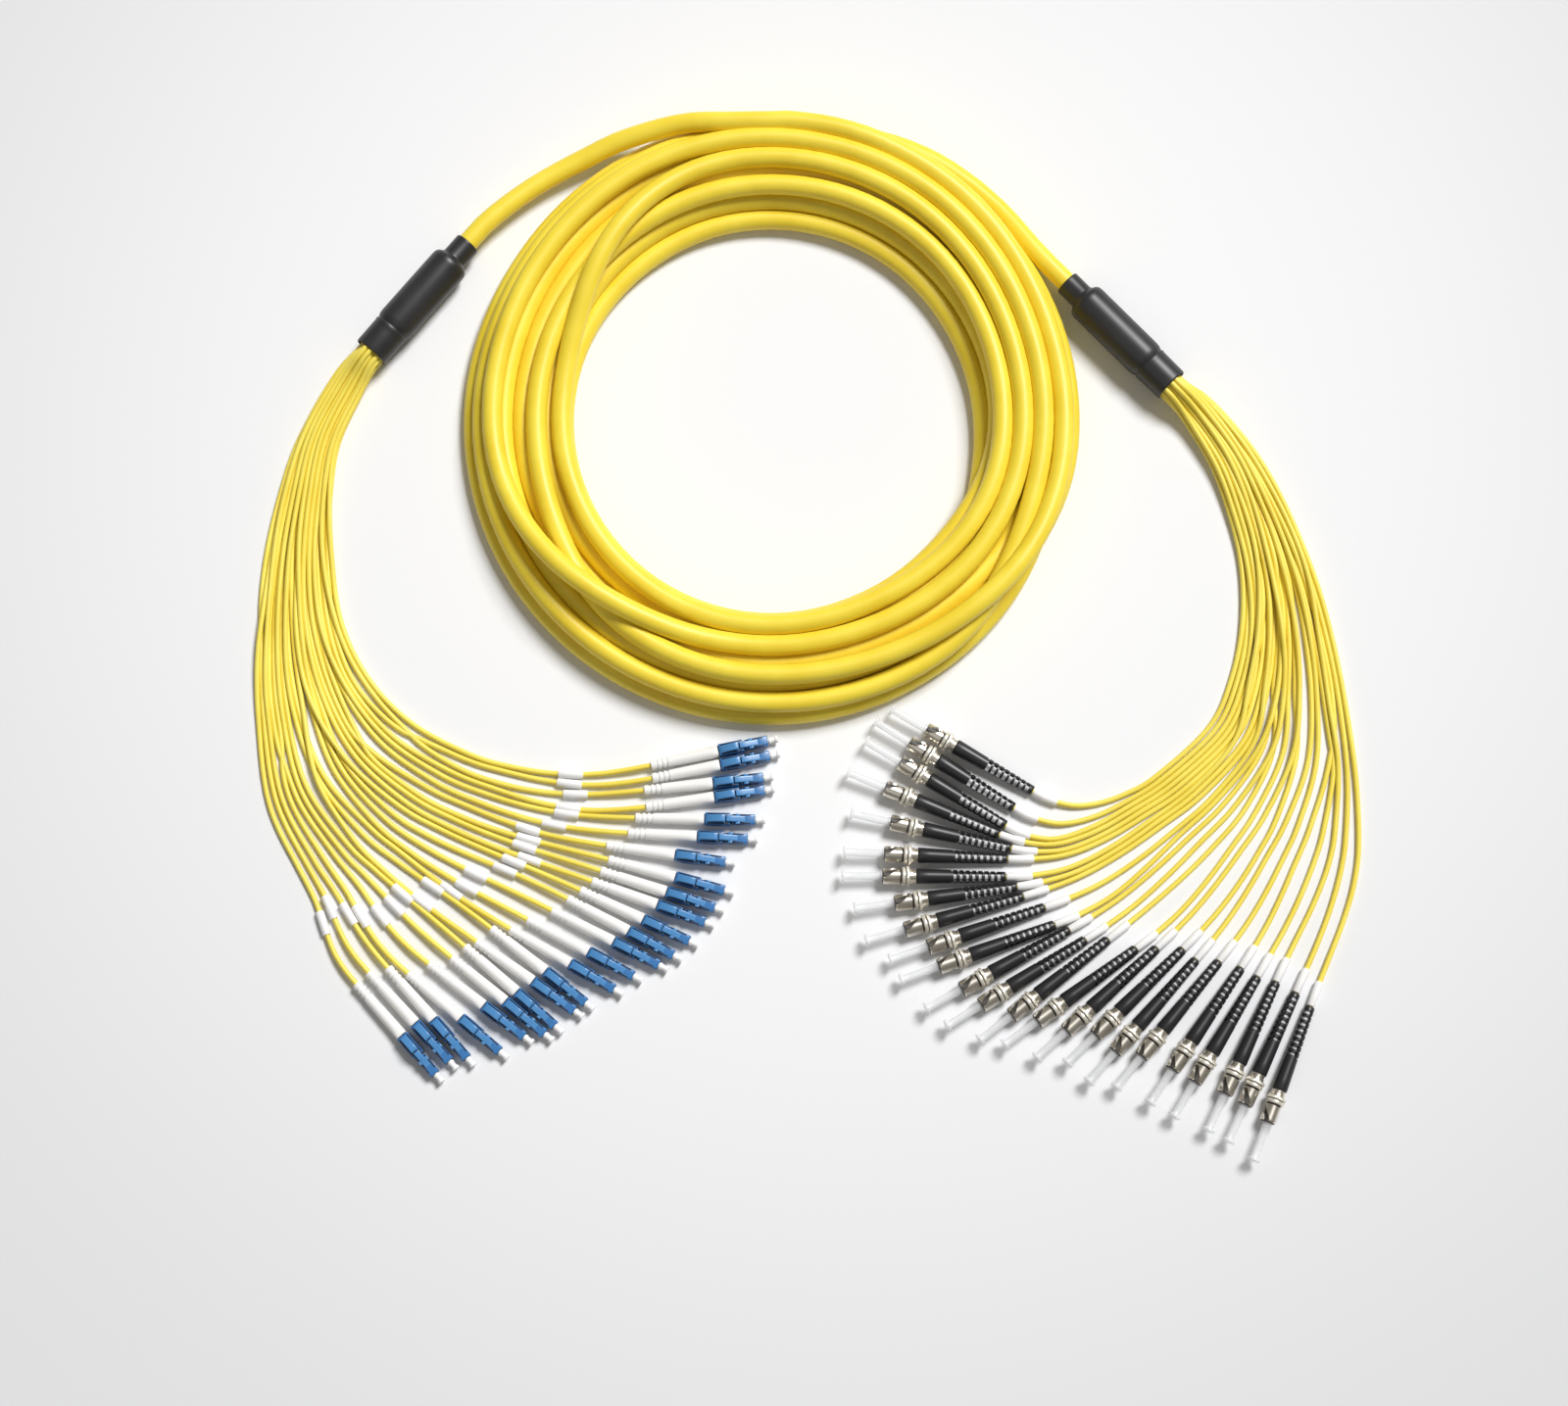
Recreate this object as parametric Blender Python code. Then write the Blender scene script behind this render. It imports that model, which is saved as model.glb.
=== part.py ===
"""Fibre breakout cable: a coiled trunk that splits into 24 legs at each end.

The coil lies flat on the floor at z = 0. One end of the trunk runs through a black sleeve into
legs with LC plugs, the other end into legs with ST plugs. Metres, +Z up.
"""
import math

import bmesh
import bpy
import numpy as np
from mathutils import Matrix, Vector

MM = 0.001

# Cable
TRUNK_D = 9.0 * MM
LEG_D = 2.3 * MM
LEGS = 24
CLEARANCE = 0.3 * MM

# Coil of the trunk
COIL_CENTRE = (-16.5 * MM, 91.0 * MM)
COIL_BORE_D = 175.0 * MM
TURNS_ACROSS = 5
COIL_LAYERS = 3
TURN_GAP = 0.35 * MM
LAYER_NEST = 0.88
COIL_SEGMENTS = 40

# Places on the floor are given from the coil: a bearing in degrees from +X about its centre, and
# how far out from its outer side, in mm.

# Leads from the coil to the sleeves: they lie against its side between two bearings, and go on
# through places that are chosen by hand
LC_LEAVES_COIL = (86, 96)
LC_LEAD = [(105.7, 8.4), (116.6, 10.3), (124.2, 11.2), (131.8, 13.8), (137.8, 16.5)]
LC_LEAD_POINTS = 10
ST_LEAVES_COIL = (50, 43)
ST_LEAD = [(34.6, 4.9)]
ST_LEAD_POINTS = 6
LEAD_GAP = 0.6 * MM
LEAD_STRAIGHT = 12.0 * MM

# Breakout sleeves
LC_SLEEVE_AT = (149.4, 21.7)
LC_SLEEVE_HEADING = -130.0
ST_SLEEVE_AT = (25.2, 10.0)
ST_SLEEVE_HEADING = -46.0
SLEEVE_D = 17.4 * MM
SLEEVE_LENGTH = 42.0 * MM
SLEEVE_SHOULDER = 2.5 * MM
SLEEVE_WALL = 0.9 * MM
LEG_NECK_WALL = 0.6 * MM
TRUNK_NECK_LENGTH = 10.0 * MM
LEG_NECK_LENGTH = 13.0 * MM
NECK_RECESS = 4.0 * MM
ROUND_SIDES = 20

# Bundle of legs in the sleeve
LEG_PITCH = 2.34 * MM
POTTING_LENGTH = 2.0 * MM

# LC plug: places along its axis are measured from where the boot meets the housing
LC_BOOT_LENGTH = 30.0 * MM
LC_BOOT_REAR_D = 4.4 * MM
LC_BOOT_FRONT_D = 5.2 * MM
LC_BODY_WIDTH = 5.4 * MM
LC_BODY_HEIGHT = 6.0 * MM
LC_BODY_LENGTH = 11.0 * MM
LC_NOSE_WIDTH = 4.5 * MM
LC_NOSE_LENGTH = 10.5 * MM
LC_TRIGGER_RISE = 2.2 * MM
LC_CAP_D = 3.4 * MM
LC_CAP_LENGTH = 4.5 * MM
LC_EDGE = 0.5 * MM

# ST plug: places along its axis are measured from where the boot meets the nut
ST_BOOT_LENGTH = 38.5 * MM
ST_BOOT_REAR_D = 4.4 * MM
ST_BOOT_FRONT_D = 6.8 * MM
ST_FLANGE_D = 8.8 * MM
ST_FLANGE_AT = 2.8 * MM
ST_FLANGE_LENGTH = 3.4 * MM
ST_NUT_D = 7.4 * MM
ST_NUT_LENGTH = 14.2 * MM
ST_CAP_D = 3.6 * MM
ST_CAP_LENGTH = 16.5 * MM
ST_CAP_DISC_D = 5.8 * MM
ST_CAP_DISC = 1.2 * MM
PLUG_SIDES = 8

# Fans. The first plug has its place from the coil and its heading in degrees. Each other plug
# lies beside the one before it: clear gap, how far it is set forward, and how much it is turned.
LC_FIRST = (-98.7, 14.8)
LC_FIRST_HEADING = 12
LC_STEPS = [
    (0.8, -0.5, -1), (1.7, -4.5, -5), (0.8, 0, 2), (3.4, -5.5, -9), (2.3, -3, -2), (3.1, -9, -5),
    (4.2, 1.5, -7), (1.7, -2, -3), (1.1, -2, -2), (2.6, -3.5, -5), (1.8, -3.5, -3), (1.6, -3.5, 1),
    (3.3, -7.5, -1), (2.7, -4.5, -2), (2.7, -7.5, -8), (1.3, -1.5, 3), (2.3, -3, -6), (0.8, -1, 2),
    (1.7, -6, 2), (4.7, -4.5, -3), (2.6, -8.5, -8), (1.4, -4, 1), (2.2, 0, -1),
]
ST_FIRST = (-61.3, 31.5)
ST_FIRST_HEADING = 150
ST_STEPS = [
    (0.3, 3.5, -2), (0.3, -1, 1), (2, 0, 9), (1.7, -7.5, 10), (2.7, 0, 10), (0.3, 0.5, 2),
    (0.9, -5, 8), (1.1, -2.5, 8), (0.3, -7.5, 3), (0.3, -1.5, 1), (1.4, -5.5, 9), (0.3, -4, 3),
    (0.3, -8.5, 6), (0.3, -7, -2), (0.3, -7.5, 6), (0.3, -8, 2), (1, -1, 4), (0.3, -6, 2),
    (3.5, -4, 5), (1.1, -1, 3), (3.1, -2.5, 6), (0.7, 0.5, 0), (1.9, 2.5, 4),
]
RIGHT_HAND = -1
LEFT_HAND = 1

# The legs' way between the sleeve and the fan: the inmost and the outmost leg's places. A crowd
# above 1 draws the legs between them to the inmost one, more and more on the way to the fan.
LC_INNER = [(175.8, 50.4), (183.2, 57.9), (190.9, 64.4), (198.2, 70), (206, 75.7), (213.2, 76.9),
            (220.8, 72.6), (228.8, 63.5)]
LC_OUTER = [(174.1, 60.1), (181.8, 71.5), (189.3, 82.6), (196.7, 95.1), (204, 108.5), (211.1, 124),
            (218.3, 141), (224.9, 150.1)]
LC_CROWD = 1.0
ST_INNER = [(0.1, 48), (-5.8, 61.9), (-11.6, 73.6), (-17.5, 85), (-23.7, 94.8), (-29.9, 101.1),
            (-35.7, 104.4), (-43.4, 99.7)]
ST_OUTER = [(2.2, 59), (-3.8, 76.5), (-10, 93.5), (-16.1, 110.9), (-21.1, 125.7), (-26.4, 143.2),
            (-31.8, 163.1), (-36.4, 180.2)]
ST_CROWD = 1.5
LEG_STATIONS = 41
LEG_STEP = 5
LEG_SWEEP = 0.34
MOUTH_STRAIGHT = 4.0 * MM
BOOT_STRAIGHT = 5.0 * MM
SETTLE_ROUNDS = 100
SETTLE_SINK = 0.012


def clear_scene():
    for obj in list(bpy.data.objects):
        bpy.data.objects.remove(obj)


def make_material(name, colour, roughness, metallic=0.0):
    material = bpy.data.materials.new(name)
    material.use_nodes = True
    shader = material.node_tree.nodes["Principled BSDF"]
    shader.inputs["Base Color"].default_value = (*colour, 1.0)
    shader.inputs["Roughness"].default_value = roughness
    shader.inputs["Metallic"].default_value = metallic
    return material


def add_object(name, data, material):
    obj = bpy.data.objects.new(name, data)
    bpy.context.scene.collection.objects.link(obj)
    obj.data.materials.append(material)
    return obj


def skin(name, rings, material, closed_ring=False):
    """One closed mesh through rings of points: capped at both ends, or joined end to end."""
    mesh = bmesh.new()
    loops = [[mesh.verts.new(point) for point in ring] for ring in rings]
    pairs = list(zip(loops, loops[1:] + loops[:1] if closed_ring else loops[1:]))
    for near, far in pairs:
        count = len(near)
        for i in range(count):
            j = (i + 1) % count
            mesh.faces.new((near[i], near[j], far[j], far[i]))
    if not closed_ring:
        mesh.faces.new(list(reversed(loops[0])))
        mesh.faces.new(loops[-1])
    bmesh.ops.recalc_face_normals(mesh, faces=mesh.faces)
    data = bpy.data.meshes.new(name)
    mesh.to_mesh(data)
    mesh.free()
    data.shade_smooth()
    data.set_sharp_from_angle(angle=math.radians(35))
    return add_object(name, data, material)


def round_ring(x, diameter, sides):
    """A ring round the x axis, with a flat side down."""
    angles = [2 * math.pi * (i + 0.5) / sides for i in range(sides)]
    return [Vector((x, diameter / 2 * math.sin(a), -diameter / 2 * math.cos(a))) for a in angles]


def box_ring(x, width, low, high, edge):
    """A rectangle across the x axis with its corners cut off."""
    half = width / 2
    corners = [
        (-half + edge, low), (half - edge, low), (half, low + edge), (half, high - edge),
        (half - edge, high), (-half + edge, high), (-half, high - edge), (-half, low + edge),
    ]
    return [Vector((x, y, z)) for y, z in corners]


def smooth_curve(points, count):
    """Points at even distances along a smooth curve through the given ones."""
    points = np.array(points, float)
    padded = np.vstack([2 * points[0] - points[1], points, 2 * points[-1] - points[-2]])
    fine = []
    for p0, p1, p2, p3 in zip(padded, padded[1:], padded[2:], padded[3:]):
        for t in np.linspace(0, 1, 20, endpoint=False):
            fine.append(0.5 * (2 * p1 + (p2 - p0) * t + (2 * p0 - 5 * p1 + 4 * p2 - p3) * t * t
                               + (3 * p1 - p0 - 3 * p2 + p3) * t ** 3))
    fine.append(points[-1])
    fine = np.array(fine)
    run = np.concatenate([[0], np.cumsum(np.linalg.norm(np.diff(fine, axis=0), axis=1))])
    places = np.linspace(0, run[-1], count)
    return np.stack([np.interp(places, run, fine[:, axis]) for axis in range(3)], axis=1)


def heading_vector(degrees):
    angle = math.radians(degrees)
    return np.array((math.cos(angle), math.sin(angle), 0.0))


def unit(vector):
    return vector / np.linalg.norm(vector)


def coil_outer():
    """Radius of the coil's outer side."""
    return COIL_BORE_D / 2 + (TRUNK_D + TURN_GAP) * (TURNS_ACROSS - 1) + TRUNK_D


def from_coil(place, height=0.0):
    """The point at a bearing and a distance from the coil's outer side."""
    bearing, clear = place
    reach = (coil_outer() + clear * MM) * heading_vector(bearing)
    return reach + np.array((*COIL_CENTRE, height))


# Coil

def coil_profile():
    """Outline of the wound turns, as (radius, height) points, with the top turns showing."""
    radius = TRUNK_D / 2
    pitch = TRUNK_D + TURN_GAP
    inner = COIL_BORE_D / 2 + radius
    turns = [(inner + pitch * i, radius) for i in range(TURNS_ACROSS)]
    for layer in range(1, COIL_LAYERS):
        inset = 0.5 * (layer % 2)
        count = TURNS_ACROSS - layer % 2
        height = radius + layer * TRUNK_D * LAYER_NEST
        turns += [(inner + pitch * (i + inset), height) for i in range(count)]

    def top(place):
        reach = [(height, radius ** 2 - (place - centre) ** 2) for centre, height in turns]
        return max(height + math.sqrt(rest) for height, rest in reach if rest >= 0)

    first = inner - radius * 0.999
    last = inner + pitch * (TURNS_ACROSS - 1) + radius * 0.999
    crown = [inner + pitch * 0.25 * i for i in range(4 * TURNS_ACROSS - 3)]
    across = [first, first + radius * 0.3] + crown + [last - radius * 0.3, last]
    above = [(place, top(place)) for place in across]
    below = [(last, radius), (last - radius, 0.0), (first + radius, 0.0), (first, radius)]
    return above + below


def make_coil(material):
    profile = coil_profile()
    rings = []
    for i in range(COIL_SEGMENTS):
        angle = 2 * math.pi * i / COIL_SEGMENTS
        rings.append([Vector((COIL_CENTRE[0] + r * math.cos(angle),
                              COIL_CENTRE[1] + r * math.sin(angle), z)) for r, z in profile])
    return skin("trunk_coil", rings, material, closed_ring=True)


# Tubes

def make_tube(name, path, diameter, material):
    """A round cord with filled ends through the path's points."""
    curve = bpy.data.curves.new(name, "CURVE")
    curve.dimensions = "3D"
    add_path(curve, path)
    curve.bevel_depth = diameter / 2
    curve.bevel_resolution = 2
    curve.use_fill_caps = True
    return add_object(name, curve, material)


def add_path(curve, path):
    spline = curve.splines.new("POLY")
    spline.points.add(len(path) - 1)
    for point, place in zip(spline.points, path):
        point.co = (*place, 1.0)


def lead_path(bearings, places, count, sleeve_at, sleeve_heading):
    """From beside the coil into the sleeve's trunk neck."""
    entry = from_coil(sleeve_at, SLEEVE_D / 2)
    along = heading_vector(sleeve_heading)
    against = (LEAD_GAP + TRUNK_D / 2) / MM
    beside = [(bearing, against) for bearing in bearings]
    points = [from_coil(place, TRUNK_D / 2) for place in beside + places]
    rise = np.linspace(0, 1, len(points)) ** 2 * (SLEEVE_D / 2 - TRUNK_D / 2)
    for point, lift in zip(points, rise):
        point[2] += lift * 0.8
    points += [entry - along * LEAD_STRAIGHT, entry + along * (NECK_RECESS - CLEARANCE)]
    return smooth_curve(points, count)


# Sleeves

def bundle_d():
    """Outer diameter of the packed legs."""
    return 2 * max(math.hypot(*slot) for slot in bundle_slots()) + LEG_D


def bundle_slots():
    """Close-packed places of the legs across the sleeve, from one side to the other."""
    span = range(-4, 5)
    middle = (0.21 * LEG_PITCH, 0.13 * LEG_PITCH)
    lattice = [((col + 0.5 * (row % 2)) * LEG_PITCH - middle[0],
                row * LEG_PITCH * math.sqrt(0.75) - middle[1]) for row in span for col in span]
    nearest = sorted(lattice, key=lambda slot: math.hypot(*slot))[:LEGS]
    return sorted(nearest)


def make_sleeve(name, at, heading, material):
    """Moulded sleeve: body between two necks, each neck open for what runs into it."""
    trunk_bore = TRUNK_D + 2 * CLEARANCE
    leg_bore = bundle_d() + 2 * CLEARANCE
    trunk_neck = trunk_bore + 2 * SLEEVE_WALL
    leg_neck = leg_bore + 2 * LEG_NECK_WALL
    body_start = TRUNK_NECK_LENGTH
    body_end = body_start + SLEEVE_LENGTH
    end = body_end + LEG_NECK_LENGTH
    outline = [
        (NECK_RECESS, trunk_bore), (0, trunk_bore), (0, trunk_neck), (body_start, trunk_neck),
        (body_start + SLEEVE_SHOULDER * 0.3, SLEEVE_D - SLEEVE_SHOULDER),
        (body_start + SLEEVE_SHOULDER, SLEEVE_D), (body_end - SLEEVE_SHOULDER, SLEEVE_D),
        (body_end, leg_neck), (end, leg_neck), (end, leg_bore), (end - NECK_RECESS, leg_bore),
    ]
    rings = [round_ring(x, diameter, ROUND_SIDES) for x, diameter in outline]
    sleeve = skin(name, rings, material)
    sleeve.location = from_coil(at, SLEEVE_D / 2)
    sleeve.rotation_euler = (0, 0, math.radians(heading))
    return sleeve


# Plugs

def fan_places(first, heading, steps, width, side):
    """Each plug's place on the floor and heading, one beside the other."""
    place = from_coil(first)
    places = [(place, heading)]
    for gap, forward, turn in steps:
        along = heading_vector(heading)
        across = side * np.array((-along[1], along[0], 0.0))
        place = place + across * (width + gap * MM) + along * forward * MM
        heading += turn
        places.append((place, heading))
    return places


def lc_rings():
    """LC plug along +X, lying with its latch up: boot, housing, nose and dust cap."""
    middle = LC_BODY_HEIGHT / 2
    nose_low = middle - LC_NOSE_WIDTH / 2
    nose_high = middle + LC_NOSE_WIDTH / 2
    front = LC_BODY_LENGTH + LC_NOSE_LENGTH

    def round_at(x, diameter):
        return [point + Vector((0, 0, middle)) for point in round_ring(x, diameter, PLUG_SIDES)]

    return [
        round_at(-LC_BOOT_LENGTH, LC_BOOT_REAR_D),
        round_at(0, LC_BOOT_FRONT_D),
        box_ring(0, LC_BODY_WIDTH, 0, LC_BODY_HEIGHT, LC_EDGE),
        box_ring(LC_BODY_LENGTH * 0.6, LC_BODY_WIDTH, 0, LC_BODY_HEIGHT + LC_TRIGGER_RISE, LC_EDGE),
        box_ring(LC_BODY_LENGTH, LC_BODY_WIDTH, 0, LC_BODY_HEIGHT + LC_TRIGGER_RISE * 0.6, LC_EDGE),
        box_ring(LC_BODY_LENGTH, LC_NOSE_WIDTH, nose_low, nose_high + 1.2 * MM, LC_EDGE),
        box_ring(front, LC_NOSE_WIDTH, nose_low, nose_high, LC_EDGE),
        round_at(front, LC_CAP_D),
        round_at(front + LC_CAP_LENGTH, LC_CAP_D),
    ]


def st_rings():
    """ST plug along +X: boot, bayonet nut with its flange, and dust cap."""
    outline = [
        (-ST_BOOT_LENGTH, ST_BOOT_REAR_D), (0, ST_BOOT_FRONT_D), (ST_FLANGE_AT, ST_NUT_D),
        (ST_FLANGE_AT, ST_FLANGE_D), (ST_FLANGE_AT + ST_FLANGE_LENGTH, ST_FLANGE_D),
        (ST_FLANGE_AT + ST_FLANGE_LENGTH, ST_NUT_D), (ST_NUT_LENGTH, ST_NUT_D),
        (ST_NUT_LENGTH, ST_CAP_D), (ST_NUT_LENGTH + ST_CAP_LENGTH, ST_CAP_D),
        (ST_NUT_LENGTH + ST_CAP_LENGTH, ST_CAP_DISC_D),
        (ST_NUT_LENGTH + ST_CAP_LENGTH + ST_CAP_DISC, ST_CAP_DISC_D),
    ]
    return [round_ring(x, diameter, PLUG_SIDES) for x, diameter in outline]


def st_tilt():
    """How far the plug points up: it lies on its flange and on the rear of its boot."""
    drop = (ST_FLANGE_D - ST_BOOT_REAR_D) / 2
    return math.asin(drop / (ST_BOOT_LENGTH + ST_FLANGE_AT))


def lc_frame(place, heading):
    return Matrix.Translation(place) @ Matrix.Rotation(math.radians(heading), 4, "Z")


def st_frame(place, heading):
    height = ST_FLANGE_D / 2 * math.cos(st_tilt())
    lift = Matrix.Translation((place[0], place[1], height))
    return lift @ Matrix.Rotation(math.radians(heading), 4, "Z") @ Matrix.Rotation(-st_tilt(), 4, "Y")


def make_plugs(prefix, places, frame, rings, material):
    """One node for each plug, all on one mesh."""
    first = skin(f"{prefix}_01", rings, material)
    for number, (place, heading) in enumerate(places, 1):
        plug = first if number == 1 else add_object(f"{prefix}_{number:02d}", first.data, material)
        plug.matrix_world = frame(place, heading)


# Legs

def settle(routes, pitch, floor, fixed):
    """Push legs that touch apart, and let them sink to the floor. Their ends keep their places."""
    count, stations = routes.shape[:2]
    own = np.eye(count, dtype=bool)[:, :, None]
    held = np.zeros(stations, dtype=bool)
    held[:fixed] = held[-fixed:] = True
    shift = np.zeros_like(routes)
    for _ in range(SETTLE_ROUNDS):
        now = routes + shift
        tangent = np.gradient(now, axis=1)
        tangent /= np.linalg.norm(tangent, axis=2, keepdims=True)
        between = now[:, None] - now[None]
        along = (between * tangent[:, None]).sum(axis=3)
        across = between - along[..., None] * tangent[:, None]
        distance = np.linalg.norm(across, axis=3) + 1e-9
        close = (distance < pitch) & (np.abs(along) < 6 * pitch) & ~own
        push = np.where(close, (pitch - distance) / distance * 0.35, 0.0)
        shift += (across * push[..., None]).sum(axis=1)
        shift[..., 2] -= SETTLE_SINK * pitch
        shift[:, 1:-1] += 0.2 * (shift[:, :-2] + shift[:, 2:] - 2 * shift[:, 1:-1])
        shift[..., 2] = np.maximum(shift[..., 2], floor - routes[..., 2])
        shift[:, held] = 0
    return routes + shift


def leg_routes(sleeve_at, sleeve_heading, side, inner, outer, crowd, places, frame, boot_length):
    """Every leg's points, from the potting in the sleeve to the rear of its plug's boot.

    On the way the legs lie in a pile as wide as the two outmost ones are apart.
    """
    along = heading_vector(sleeve_heading)
    inward = side * np.array((-along[1], along[0], 0.0))
    mouth_x = TRUNK_NECK_LENGTH + SLEEVE_LENGTH + LEG_NECK_LENGTH
    mouth = from_coil(sleeve_at, SLEEVE_D / 2) + along * mouth_x
    crowds = np.linspace(1, crowd, len(inner))
    routes = []
    for k, (slot, (place, heading)) in enumerate(zip(reversed(bundle_slots()), places)):
        start = mouth + inward * slot[0] + np.array((0, 0, slot[1]))
        points = [start - along * (NECK_RECESS - POTTING_LENGTH / 2), start + along * MOUTH_STRAIGHT]
        share_up = 0.5 + slot[1] / (bundle_d() - LEG_D)
        for near, far, power in zip(inner, outer, crowds):
            near, far = from_coil(near, LEG_D / 2), from_coil(far, LEG_D / 2)
            layers = max(1.0, LEGS * LEG_PITCH / np.linalg.norm(far - near))
            points.append(near + (far - near) * (k / (LEGS - 1)) ** power)
            points[-1][2] += share_up * (layers - 1) * LEG_PITCH
        to_plug = frame(place, heading)
        rear = np.array(to_plug @ Vector((-boot_length - CLEARANCE, 0, 0)))
        if boot_length == LC_BOOT_LENGTH:
            rear[2] += LC_BODY_HEIGHT / 2
        back = -heading_vector(heading)
        end = rear + back * BOOT_STRAIGHT
        corner = points[-1]
        ahead = 1.5 * unit(points[-1] - points[-2]) - 0.5 * unit(points[-2] - points[-3])
        reach = LEG_SWEEP * np.linalg.norm(end - corner)
        for t in (0.25, 0.5, 0.75):
            points.append(
                corner * (1 - t) ** 3 + (corner + ahead * reach) * 3 * t * (1 - t) ** 2
                + (end + back * reach) * 3 * t * t * (1 - t) + end * t ** 3)
        points += [end, rear]
        routes.append(smooth_curve(points, LEG_STATIONS))
    return settle(np.array(routes), LEG_PITCH, LEG_D / 2, 2)


def make_legs(name, routes, sleeve_at, sleeve_heading, material):
    """All legs of one end, held together by the potting inside the sleeve."""
    coarse = [np.vstack([route[:2], route[LEG_STEP:-LEG_STEP:LEG_STEP], route[-2:]])
              for route in routes]
    tubes = make_tube(f"{name}_tubes", coarse[0], LEG_D, material)
    for route in coarse[1:]:
        add_path(tubes.data, route)
    bpy.context.view_layer.update()
    evaluated = tubes.evaluated_get(bpy.context.evaluated_depsgraph_get())
    cutter = add_object(f"{name}_guide", bpy.data.meshes.new_from_object(evaluated), material)
    cutter.hide_render = True
    cutter.display_type = "WIRE"
    bpy.data.objects.remove(tubes)
    mouth_x = TRUNK_NECK_LENGTH + SLEEVE_LENGTH + LEG_NECK_LENGTH
    face = mouth_x - NECK_RECESS + CLEARANCE
    rings = [round_ring(x, bundle_d() - LEG_D / 2, ROUND_SIDES)
             for x in (face, face + POTTING_LENGTH)]
    potting = skin(name, rings, material)
    potting.location = from_coil(sleeve_at, SLEEVE_D / 2)
    potting.rotation_euler = (0, 0, math.radians(sleeve_heading))
    union = potting.modifiers.new("legs", "BOOLEAN")
    union.operation = "UNION"
    union.solver = "EXACT"
    union.use_self = True
    union.object = cutter
    return potting


def main():
    clear_scene()
    jacket = make_material("yellow_jacket", (0.86, 0.62, 0.05), 0.4)
    black = make_material("black_sleeve", (0.03, 0.03, 0.033), 0.45)
    blue = make_material("blue_housing", (0.03, 0.18, 0.5), 0.35)
    nickel = make_material("nickel_nut", (0.62, 0.58, 0.52), 0.3, 1.0)

    make_coil(jacket)
    lc_lead = lead_path(LC_LEAVES_COIL, LC_LEAD, LC_LEAD_POINTS, LC_SLEEVE_AT, LC_SLEEVE_HEADING)
    st_lead = lead_path(ST_LEAVES_COIL, ST_LEAD, ST_LEAD_POINTS, ST_SLEEVE_AT, ST_SLEEVE_HEADING)
    make_tube("trunk_lead_lc", lc_lead, TRUNK_D, jacket)
    make_tube("trunk_lead_st", st_lead, TRUNK_D, jacket)
    make_sleeve("breakout_lc", LC_SLEEVE_AT, LC_SLEEVE_HEADING, black)
    make_sleeve("breakout_st", ST_SLEEVE_AT, ST_SLEEVE_HEADING, black)

    lc_places = fan_places(LC_FIRST, LC_FIRST_HEADING, LC_STEPS, LC_BODY_WIDTH, RIGHT_HAND)
    st_places = fan_places(ST_FIRST, ST_FIRST_HEADING, ST_STEPS, ST_FLANGE_D, LEFT_HAND)
    make_plugs("lc_plug", lc_places, lc_frame, lc_rings(), blue)
    make_plugs("st_plug", st_places, st_frame, st_rings(), nickel)

    lc_routes = leg_routes(LC_SLEEVE_AT, LC_SLEEVE_HEADING, LEFT_HAND, LC_INNER, LC_OUTER,
                           LC_CROWD, lc_places, lc_frame, LC_BOOT_LENGTH)
    st_routes = leg_routes(ST_SLEEVE_AT, ST_SLEEVE_HEADING, RIGHT_HAND, ST_INNER, ST_OUTER,
                           ST_CROWD, st_places, st_frame, ST_BOOT_LENGTH)
    make_legs("lc_legs", lc_routes, LC_SLEEVE_AT, LC_SLEEVE_HEADING, jacket)
    make_legs("st_legs", st_routes, ST_SLEEVE_AT, ST_SLEEVE_HEADING, jacket)


main()
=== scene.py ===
"""Looks of the fibre breakout cable: coiled trunk, two breakout sleeves, 48 legs with their plugs.

The coil lies on a pale floor. Metres, +Z up, in the same frame as the CAD model.
"""
import math
from types import SimpleNamespace

import bmesh
import bpy
import numpy as np
from mathutils import Matrix, Vector


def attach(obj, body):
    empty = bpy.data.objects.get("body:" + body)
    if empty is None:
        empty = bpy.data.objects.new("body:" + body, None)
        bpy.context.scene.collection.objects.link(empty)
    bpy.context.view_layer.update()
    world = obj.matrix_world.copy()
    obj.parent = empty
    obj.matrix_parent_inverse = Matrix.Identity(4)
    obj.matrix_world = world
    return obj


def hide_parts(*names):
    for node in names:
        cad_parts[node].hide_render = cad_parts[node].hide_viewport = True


MM = 0.001

# Cable, as in the CAD model
TRUNK_D = 9.0 * MM
LEG_D = 2.3 * MM
LEGS = 24
CLEARANCE = 0.3 * MM
COIL_CENTRE = (-16.5 * MM, 91.0 * MM)
COIL_BORE_D = 175.0 * MM
TURNS_ACROSS = 5
TURN_GAP = 0.35 * MM
LAYER_RISE = 0.88

# Leads and sleeves, as in the CAD model: places are a bearing about the coil's centre and mm out
# from its outer side
LC_LEAVES_COIL = (86, 96)
LC_LEAD = [(105.7, 8.4), (116.6, 10.3), (124.2, 11.2), (131.8, 13.8), (137.8, 16.5)]
ST_LEAVES_COIL = (50, 43)
ST_LEAD = [(34.6, 4.9)]
LEAD_GAP = 0.6 * MM
LEAD_STRAIGHT = 12.0 * MM
LEAD_RISE = 0.8
LC_LEAD_STATIONS = 26
ST_LEAD_STATIONS = 12
LEAD_BLEND = 0.85
LC_SLEEVE_AT = (149.4, 21.7)
LC_SLEEVE_HEADING = -130.0
ST_SLEEVE_AT = (25.2, 10.0)
ST_SLEEVE_HEADING = -46.0
SLEEVE_D = 17.4 * MM
SLEEVE_LENGTH = 42.0 * MM
SLEEVE_WALL = 0.9 * MM
LEG_NECK_WALL = 0.6 * MM
TRUNK_NECK_LENGTH = 10.0 * MM
LEG_NECK_LENGTH = 13.0 * MM
NECK_RECESS = 4.0 * MM
LEG_PITCH = 2.34 * MM
BUNDLE_SPAN = 4
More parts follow.
